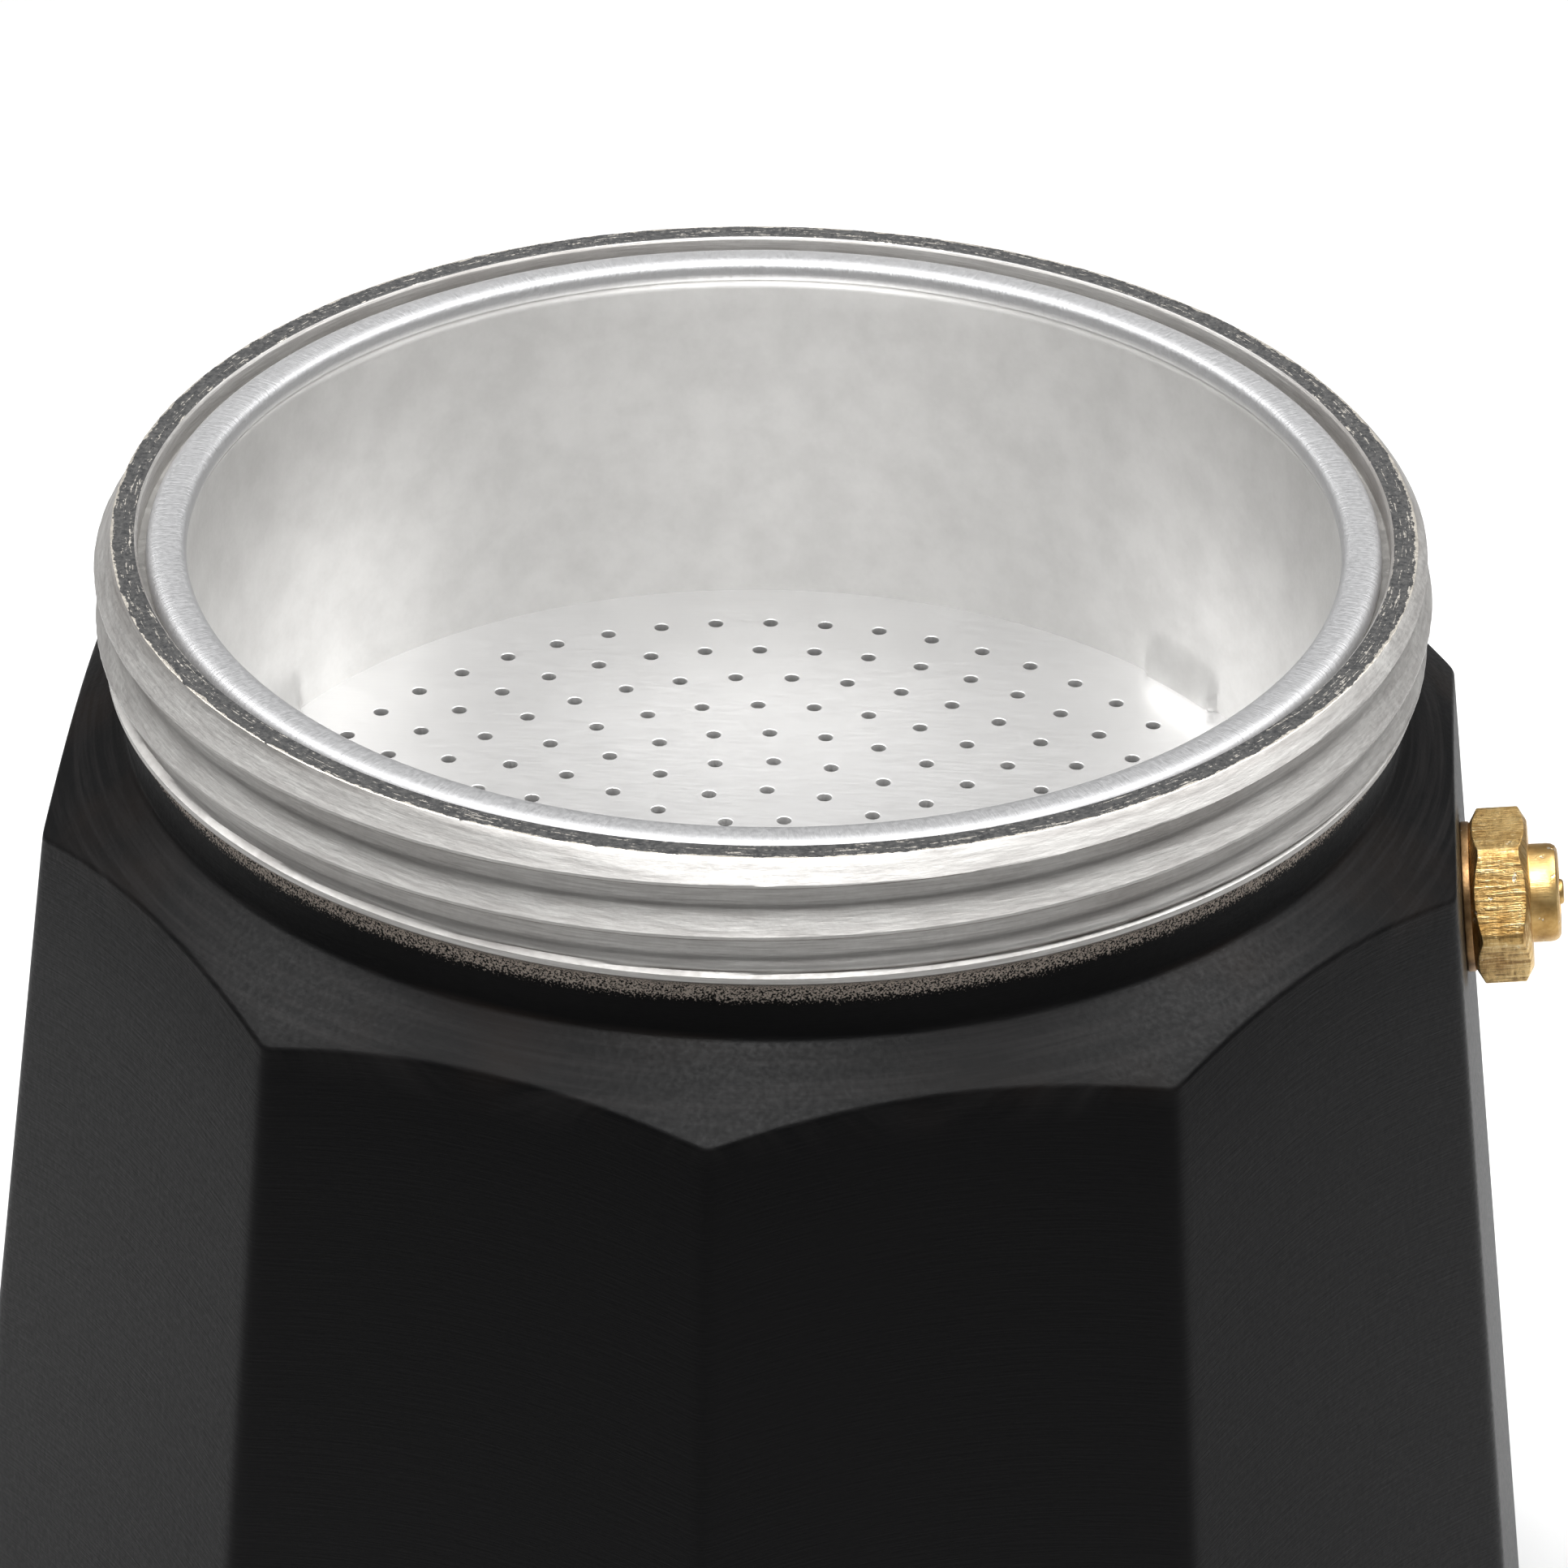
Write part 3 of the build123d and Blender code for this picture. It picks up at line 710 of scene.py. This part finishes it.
def build_disc():
    """Top and bottom plates, a tube for every hole, and the outer edge.

    A tube's lip is a quarter circle: radius r + lip (1 - sin a), depth lip (1 - cos a).
    """
    centres = hole_centres()
    lip_angle = np.linspace(0, np.pi / 2, 4)
    tube_r = np.append(HOLE_R + HOLE_LIP * (1 - np.sin(lip_angle)), HOLE_R)
    tube_z = np.append(DISC_TOP - HOLE_LIP * (1 - np.cos(lip_angle)), DISC_BOTTOM)
    upper, upper_faces = flat_with_holes(centres, tube_r[0])
    lower, lower_faces = flat_with_holes(centres, tube_r[-1])
    tube = carried_round(np.stack([tube_r, tube_z], axis=-1)[:, None], circle(HOLE_SIDES))
    tubes = tube[None] + np.pad(centres, ((0, 0), (0, 1)))[:, None, None]
    tube_starts = np.arange(len(centres))[:, None, None] * len(tube_r) * HOLE_SIDES
    tube_faces = (grid_quads(len(tube_r), HOLE_SIDES)[None] + tube_starts).reshape(-1, 4)
    edge = carried_round(np.array([[[CUP_IN_R, DISC_BOTTOM]], [[CUP_IN_R, DISC_TOP]]]), circle(EDGE_SIDES))
    points = [np.column_stack([upper, np.full(len(upper), DISC_TOP)]),
              np.column_stack([lower, np.full(len(lower), DISC_BOTTOM)]),
              tubes.reshape(-1, 3), edge.reshape(-1, 3)]
    start = np.cumsum([0] + [len(part) for part in points])
    faces = [upper_faces, lower_faces[:, ::-1] + start[1], tube_faces + start[2],
             grid_quads(2, EDGE_SIDES) + start[3]]
    make_piece("perforated_disc", np.concatenate(points), faces, "funnel",
               [disc_finish], stands_for=["filter_disc"], sharp=50, flat=(0, 1))


build_disc()

# %% [markdown]
# ## The riser
# Under the funnel's cone a plain tube reaches down to just above the floor. Its lower mouth is cut
# square and lightly broken on both edges, which is where a bare tube catches the light.
# %% Riser tube
STEM_IN_R = STEM_R - 0.7
riser_outline = rounded_outline([
    (STEM_IN_R, STEM_BOTTOM, 0.15, 1),
    (STEM_R, STEM_BOTTOM, 0.15, 1),
    (STEM_R, STEM_TOP, 0.1, 14),
    (STEM_IN_R, STEM_TOP, 0.1, 1),
], closed=True)
riser_points, riser_quads = carried_round(riser_outline, circle(64)), grid_quads(len(riser_outline), 64, True)
make_piece("riser_tube", riser_points, [riser_quads], "funnel", [funnel_finish],
           stands_for=["funnel_stem"])

# %% [markdown]
# ## Brass, brushed two ways
# The valve is cut from hexagonal bar. Its flats keep the deep lines of the drawn bar, crossed by a few
# polishing marks, and chips where a spanner has bitten; its round end was faced smoother on a lathe. The
# finish works in the valve's own three directions, which dot products with the axis give, so the
# pattern sits square on a part that leans.
# %% Brass finish
VALVE_HEIGHT, HEX_TOP = 80.0, 4.65            # of the axis at the facet; of the hexagon along the axis
valve_corner_r = SHOULDER_CORNER_R + CORNER_FLARE * (SHOULDER_CORNER_Z - VALVE_HEIGHT)
valve_facet_r = valve_corner_r * math.cos(math.pi / SIDES)
VALVE_ORIGIN = np.array([valve_facet_r, 0.0, VALVE_HEIGHT])
VALVE_SIDE = np.array([0.0, 1.0, 0.0])
VALVE_UP = np.cross(VALVE_AXIS, VALVE_SIDE)


def valve_directions(tree, place):
    """Distances from the valve's origin along its side, up and axis directions, in millimetres."""
    offset = add(tree, "VectorMath", {0: place, 1: Vector(VALVE_ORIGIN * MM)}, operation="SUBTRACT")
    offset = offset.outputs[0]
    parts = []
    for direction in (VALVE_SIDE, VALVE_UP, VALVE_AXIS):
        dot = add(tree, "VectorMath", {0: offset, 1: Vector(direction)}, operation="DOT_PRODUCT")
        parts.append(sums(tree, "MULTIPLY", dot.outputs["Value"], PER_MM))
    return parts


def stretched(tree, values, shares):
    """Vector of the values times the shares: a small share draws the pattern out along that value."""
    scaled = [sums(tree, "MULTIPLY", value, share) for value, share in zip(values, shares)]
    return add(tree, "CombineXYZ", {0: scaled[0], 1: scaled[1], 2: scaled[2]}).outputs[0]


def make_brass_finish():
    """Brass with lines along the valve's axis, strong on the flats and faint on the round end."""
    material, tree, shader, place, _ = new_material("brass_finish")
    side, up, out = valve_directions(tree, place)
    brushed = noise(tree, stretched(tree, (out, side, up), (0.3, 7.0, 0.9)), 1.0, 4.0, 0.75)
    crossed = noise(tree, stretched(tree, (out, side, up), (2.6, 0.8, 0.5)), 1.0, 3.0, 0.6)
    blotch = noise(tree, place, 0.35 * PER_MM, 4.0, 0.65)
    chips = noise(tree, place, 1.1 * PER_MM, 3.0, 0.65)
    both = sums(tree, "ADD", sums(tree, "MULTIPLY", brushed, 0.7), sums(tree, "MULTIPLY", crossed, 0.3))
    on_flats = ramp(tree, out, HEX_TOP + 0.05, HEX_TOP - 0.05, 0.3, 1.0)
    lines = sums(tree, "ADD", sums(tree, "MULTIPLY", sums(tree, "SUBTRACT", both, 0.5), on_flats), 0.5)
    metal = blend_colour(tree, ramp(tree, blotch, 0.35, 0.65), (0.50, 0.29, 0.09), (0.84, 0.59, 0.25))
    metal = blend_colour(tree, ramp(tree, lines, 0.53, 0.62, 0.0, 0.7), metal, (1.0, 0.84, 0.48))
    metal = blend_colour(tree, ramp(tree, lines, 0.48, 0.40, 0.0, 0.8), metal, (0.22, 0.12, 0.04))
    metal = blend_colour(tree, ramp(tree, chips, 0.68, 0.71, 0.0, 0.8), metal, (0.97, 0.90, 0.72))
    plug(tree, shader, colour=metal, rough=ramp(tree, lines, 0.40, 0.60, 0.48, 0.32))
    dents = bump(tree, sums(tree, "SUBTRACT", 1.0, ramp(tree, chips, 0.64, 0.72)), 0.05, 0.5)
    plug(tree, shader, normal=bump(tree, lines, 0.12, 0.9, dents))
    shader.inputs["Metallic"].default_value = 1.0
    return material


def make_plain_metal(name, dark, light, rough, speck):
    """Small turned or drawn parts: a blotchy colour, fine grain and a few bright points."""
    material, tree, shader, place, _ = new_material(name)
    blotch = noise(tree, place, 0.5 * PER_MM, 4.0, 0.6)
    grain = noise(tree, place, 6.0 * PER_MM, 3.0)
    colour = blend_colour(tree, ramp(tree, blotch, 0.35, 0.65), dark, light)
    colour = blend_colour(tree, ramp(tree, grain, 0.70, 0.76, 0.0, speck), colour, (0.95, 0.93, 0.90))
    plug(tree, shader, colour=colour, rough=ramp(tree, grain, 0.3, 0.7, rough, rough + 0.14))
    plug(tree, shader, normal=bump(tree, grain, 0.02, 0.6))
    shader.inputs["Metallic"].default_value = 1.0
    return material


brass_finish = make_brass_finish()
washer_finish = make_plain_metal("washer_finish", (0.16, 0.09, 0.04), (0.46, 0.28, 0.13), 0.35, 0.7)
spring_finish = make_plain_metal("spring_finish", (0.45, 0.45, 0.46), (0.62, 0.62, 0.63), 0.25, 0.3)
print("valve finishes:", brass_finish.name, washer_finish.name, spring_finish.name)

# %% [markdown]
# ## The safety valve
# Its five pieces share one axis, so each is an outline of (radius, distance along the axis) carried
# round and then laid on that axis. The hexagon is the same sum of cosines as the boiler's facets, with
# six sides and its corners turned down a little; where the 30 degree lathe chamfer is lower than the
# flat, the outline simply follows the chamfer, which draws the curved edges that a turned hexagon has.
# %% Valve body
WASHER_TOP, BOSS_TOP = 0.6, 6.7
HEX_HALF, HEX_CORNER_R, HEX_FACE_R = 5.5, 6.18, 5.15
BOSS_R, SHANK_R, BORE_R_VALVE, PORT_R = 3.475, 4.0, 2.4, 1.3
SHANK_END, SEAT_MOUTH = -7.0, -4.2
SHANK_PITCH, SHANK_GROOVE = 1.0, 0.32
POPPET_FOOT, POPPET_BACK, CAP_FOOT, CAP_END = -4.15, -2.85, 5.3, 6.4


def on_valve(outline, columns):
    """Outline (rows, columns or 1, 2) carried round the valve's axis, in the object's frame."""
    ring = carried_round(outline, circle(columns))
    return VALVE_ORIGIN + ring @ np.stack([VALVE_SIDE, VALVE_UP, VALVE_AXIS])


def valve_ring(name, outline, columns, body, finish, node, closed=True, sharp=32):
    quads = grid_quads(len(outline), columns, close_rows=closed)
    make_piece(name, on_valve(outline, columns), [quads], body, [finish], stands_for=[node],
               sharp=sharp)


def build_valve_body():
    """Bored shank, hexagon and round end in one outline.

    The shank's thread is a groove off its radius, depth (1 - cos 2 pi (z / pitch - turn)) / 2, faded out
    at both ends.
    """
    columns = 288
    turn = circle(columns)
    hexagon = np.minimum(HEX_HALF * many_sided(turn, 6, 420, first=math.pi / 2), HEX_CORNER_R)
    fall = np.clip(hexagon - HEX_FACE_R, 0, None) * math.tan(math.radians(30))
    outline = rounded_outline([
        (PORT_R, SHANK_END, 0, 1),
        (SHANK_R - 0.5, SHANK_END, 0.1, 1),
        (SHANK_R, SHANK_END + 0.5, 0.1, 1),
        (SHANK_R, WASHER_TOP, 0, 66),
        (HEX_FACE_R, WASHER_TOP, 0.04, 1),
        (hexagon, WASHER_TOP + fall, 0.08, 2),
        (hexagon, HEX_TOP - fall, 0.08, 8),
        (HEX_FACE_R, HEX_TOP, 0.06, 2),
        (BOSS_R, HEX_TOP, 0.12, 3),
        (BOSS_R, BOSS_TOP, 0.8, 3),
        (BORE_R_VALVE, BOSS_TOP, 0.12, 2),
        (BORE_R_VALVE, SEAT_MOUTH + BORE_R_VALVE - PORT_R, 0.05, 6),
        (PORT_R, SEAT_MOUTH, 0.05, 1),
    ], closed=True)
    radius, out = outline[..., 0], outline[..., 1]
    on_shank = (np.abs(radius - SHANK_R) < 0.01) & (out < -0.2)
    groove = 0.5 - 0.5 * np.cos(2 * np.pi * (out / SHANK_PITCH - turn / (2 * np.pi)))
    fade = smooth_step((out - SHANK_END) / 1.2) * smooth_step(-out / 0.8)
    outline[..., 0] -= on_shank * SHANK_GROOVE * groove * fade
    valve_ring("valve_hexagon", outline, columns, "boiler", brass_finish, "valve_body",
               sharp=24)


build_valve_body()

# %% [markdown]
# ## Washer, poppet and cap
# The washer seals the hexagon against the facet. The poppet is the pin that lifts when the pressure is
# too high, so it rides on its own body. The cap is a ring pressed into the valve's mouth, which guides
# the pin. All three are plain turned parts, and their broken edges are what catches the light.
# %% Valve: small pieces
washer_outline = rounded_outline([
    (SHANK_R, 0.0, 0.05, 1),
    (5.3, 0.0, 0.12, 1),
    (5.3, WASHER_TOP, 0.12, 1),
    (SHANK_R, WASHER_TOP, 0.05, 1),
], closed=True)
valve_ring("washer_ring", washer_outline, 96, "boiler", washer_finish, "valve_washer")

poppet_outline = rounded_outline([
    (0, POPPET_FOOT, 0, 1),
    (PORT_R - 0.05, POPPET_FOOT, 0.05, 2),
    (2.0, POPPET_FOOT + 0.75, 0.08, 2),
    (2.0, POPPET_BACK, 0.1, 1),
    (0.9, POPPET_BACK, 0.1, 1),
    (0.9, BOSS_TOP + 0.3, 0.3, 8),
    (0, BOSS_TOP + 0.3, 0, 2),
])
valve_ring("poppet_pin", poppet_outline, 48, "poppet", brass_finish, "valve_poppet",
           closed=False)

cap_outline = rounded_outline([
    (1.15, CAP_FOOT, 0.1, 1),
    (BORE_R_VALVE, CAP_FOOT, 0.05, 1),
    (BORE_R_VALVE, CAP_END, 0.05, 2),
    (1.15, CAP_END, 0.15, 2),
], closed=True)
valve_ring("cap_ring", cap_outline, 72, "boiler", brass_finish, "valve_cap")

# %% [markdown]
# ## The spring
# A coil spring could be a bevelled curve, but a tube round a helix is one more grid. The spring stays
# with the boiler. A real one is squashed towards the cap as the poppet lifts; nothing here squashes this one.
# %% Valve: spring
WIRE_R, COIL_R, COIL_PITCH = 0.22, 1.6, 1.45


def build_spring():
    """Tube round a helix: centre (R cos a, R sin a, foot + pitch a / 2 pi), wire circle in radius and z.

    The wire's radius falls to nothing at both ends, which closes them.
    """
    foot, head = POPPET_BACK + WIRE_R, CAP_FOOT - WIRE_R
    angle = np.linspace(0, 2 * np.pi * (head - foot) / COIL_PITCH, 160)
    thick = np.full(len(angle), WIRE_R)
    thick[[0, -1]] = 0
    angle[[0, -1]] = angle[[1, -2]]
    turn = circle(12)
    reach = COIL_R + thick[:, None] * np.cos(turn)
    out = foot + COIL_PITCH * angle[:, None] / (2 * np.pi) + thick[:, None] * np.sin(turn)
    points = np.stack([reach * np.cos(angle)[:, None], reach * np.sin(angle)[:, None], out], axis=-1)
    points = VALVE_ORIGIN + points @ np.stack([VALVE_SIDE, VALVE_UP, VALVE_AXIS])
    return make_piece("coil_spring", points, [grid_quads(len(angle), 12)[:, ::-1]], "boiler",
                      [spring_finish], stands_for=["valve_spring"])


spring = build_spring()
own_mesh(spring)

# %% [markdown]
# ## Floor
# The pot stands on a plain pale floor. It is kept off pure white, because the facets mirror it and the
# coat has to stay black.
# %% Floor


def make_floor():
    size = 3000.0
    points = size * np.array([[-1, -1, 0], [1, -1, 0], [1, 1, 0], [-1, 1, 0]], float)
    mesh = bpy.data.meshes.new("floor")
    mesh.from_pydata((points * MM).tolist(), [], [[0, 1, 2, 3]])
    floor = bpy.data.objects.new("floor", mesh)
    bpy.context.scene.collection.objects.link(floor)
    material, tree, shader, place, _ = new_material("floor_finish")
    cloud = noise(tree, place, 3.0, 2.0)
    plug(tree, shader, colour=blend_colour(tree, cloud, (0.63, 0.63, 0.63), (0.66, 0.66, 0.66)))
    shader.inputs["Roughness"].default_value = 0.8
    shader.inputs["Specular IOR Level"].default_value = 0.1
    mesh.materials.append(material)
    print("floor", 2 * size, "mm wide")


make_floor()

# %% [markdown]
# ## Light
# Large soft lights from above are all it takes: black coat shows its shape only by what it mirrors, so
# the overhead light draws the shoulder while the upright facets, which mirror the dimmer floor, stay
# dark. Each softbox has a grid, so that it lights the neck without whitening the coat.
# %% Lights


def soft_light(name, place, aim, size, power, spread):
    """Square softbox at a place, facing an aim, in millimetres; its beam is spread degrees wide."""
    lamp = bpy.data.lights.new(name, "AREA")
    lamp.shape, lamp.size, lamp.energy = "SQUARE", size * MM, power
    lamp.spread = math.radians(spread)
    light = bpy.data.objects.new(name, lamp)
    light.location = Vector(place) * MM
    facing = (Vector(aim) - Vector(place)).normalized()
    light.rotation_euler = facing.to_track_quat("-Z", "Y").to_euler()
    bpy.context.scene.collection.objects.link(light)
    print(name, power, "W")


soft_light("overhead", (0, -200, 900), (0, 130, 100), 500, 0.95, 40)
soft_light("right_above", (500, 150, 770), (0, 0, 90), 450, 0.50, 40)
soft_light("left_above", (-500, 150, 770), (0, 0, 90), 450, 0.45, 40)
soft_light("floor_behind", (0, 450, 700), (0, 380, 0), 500, 0.5, 60)
world = bpy.data.worlds.new("studio")
world.use_nodes = True
world.node_tree.nodes["Background"].inputs["Color"].default_value = (1.0, 1.0, 1.0, 1.0)
world.node_tree.nodes["Background"].inputs["Strength"].default_value = 0.18
bpy.context.scene.world = world

# %% [markdown]
# ## Camera
# A long lens from half a metre away keeps the rim's ellipse calm. The camera looks down at the middle
# of the rim, is turned about the upright axis through it, and leans by less than a degree.
# %% Camera
LENS, SENSOR = 176.9, 36.0
ELEVATION, ROLL, TURN = math.radians(30.77), math.radians(0.66), math.radians(3.55)
DISTANCE, ASIDE, BELOW = 531.37, 1.35, -18.26


def place_camera():
    """Camera that looks down at the rim's centre, turned about the upright axis and rolled a little."""
    forward = Vector((0, math.cos(ELEVATION), -math.sin(ELEVATION)))
    level, up = Vector((1, 0, 0)), Vector((0, math.sin(ELEVATION), math.cos(ELEVATION)))
    right = math.cos(ROLL) * level + math.sin(ROLL) * up
    top = -math.sin(ROLL) * level + math.cos(ROLL) * up
    turn = Matrix.Rotation(TURN, 3, "Z")
    spot = turn @ (-DISTANCE * forward + ASIDE * right + BELOW * top) + Vector((0, 0, HEIGHT))
    axes = [turn @ axis for axis in (right, top, -forward)]
    lens = bpy.data.cameras.new("camera")
    lens.lens, lens.sensor_width = LENS, SENSOR
    camera = bpy.data.objects.new("camera", lens)
    camera.matrix_world = Matrix.Translation(spot * MM) @ Matrix(axes).transposed().to_4x4()
    bpy.context.scene.collection.objects.link(camera)
    bpy.context.scene.camera = camera
    print("camera at", [round(value) for value in spot], "mm")


place_camera()
bpy.context.scene.view_settings.view_transform = "Standard"
